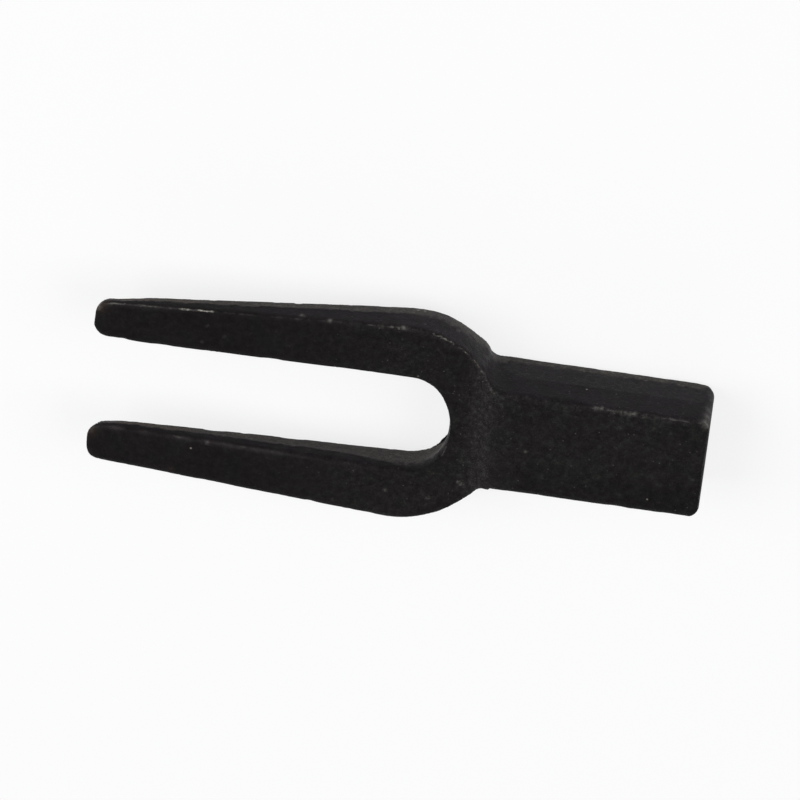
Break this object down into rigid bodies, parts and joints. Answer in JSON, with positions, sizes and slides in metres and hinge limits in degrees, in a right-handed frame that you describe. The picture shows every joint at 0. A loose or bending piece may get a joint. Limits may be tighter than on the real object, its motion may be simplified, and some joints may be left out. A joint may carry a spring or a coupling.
{
  "type": "ball joint separator fork",
  "caption": "Forked wedge head for driving ball joints apart: tapering tines beside a round-bottomed jaw, on a rectangular shank with a blind round socket for its driver.",
  "frame": {"origin": "centre of the driver socket's mouth in the middle of the shank's end face", "axes": "+X along the shank towards the tips, +Z out of the flat upper face of the fork and shank, +Y to the left looking towards the tips; the X-Z plane halves the jaw"},
  "size_m": [0.1354, 0.05, 0.0168],
  "materials": {
    "forged_steel": "black oxide on as-forged steel, semi-matt, fine scale grain, worn brighter on the ridges"
  },
  "bodies": {
    "root": {"forged_fork": "forged_steel"}
  },
  "joints": []
}
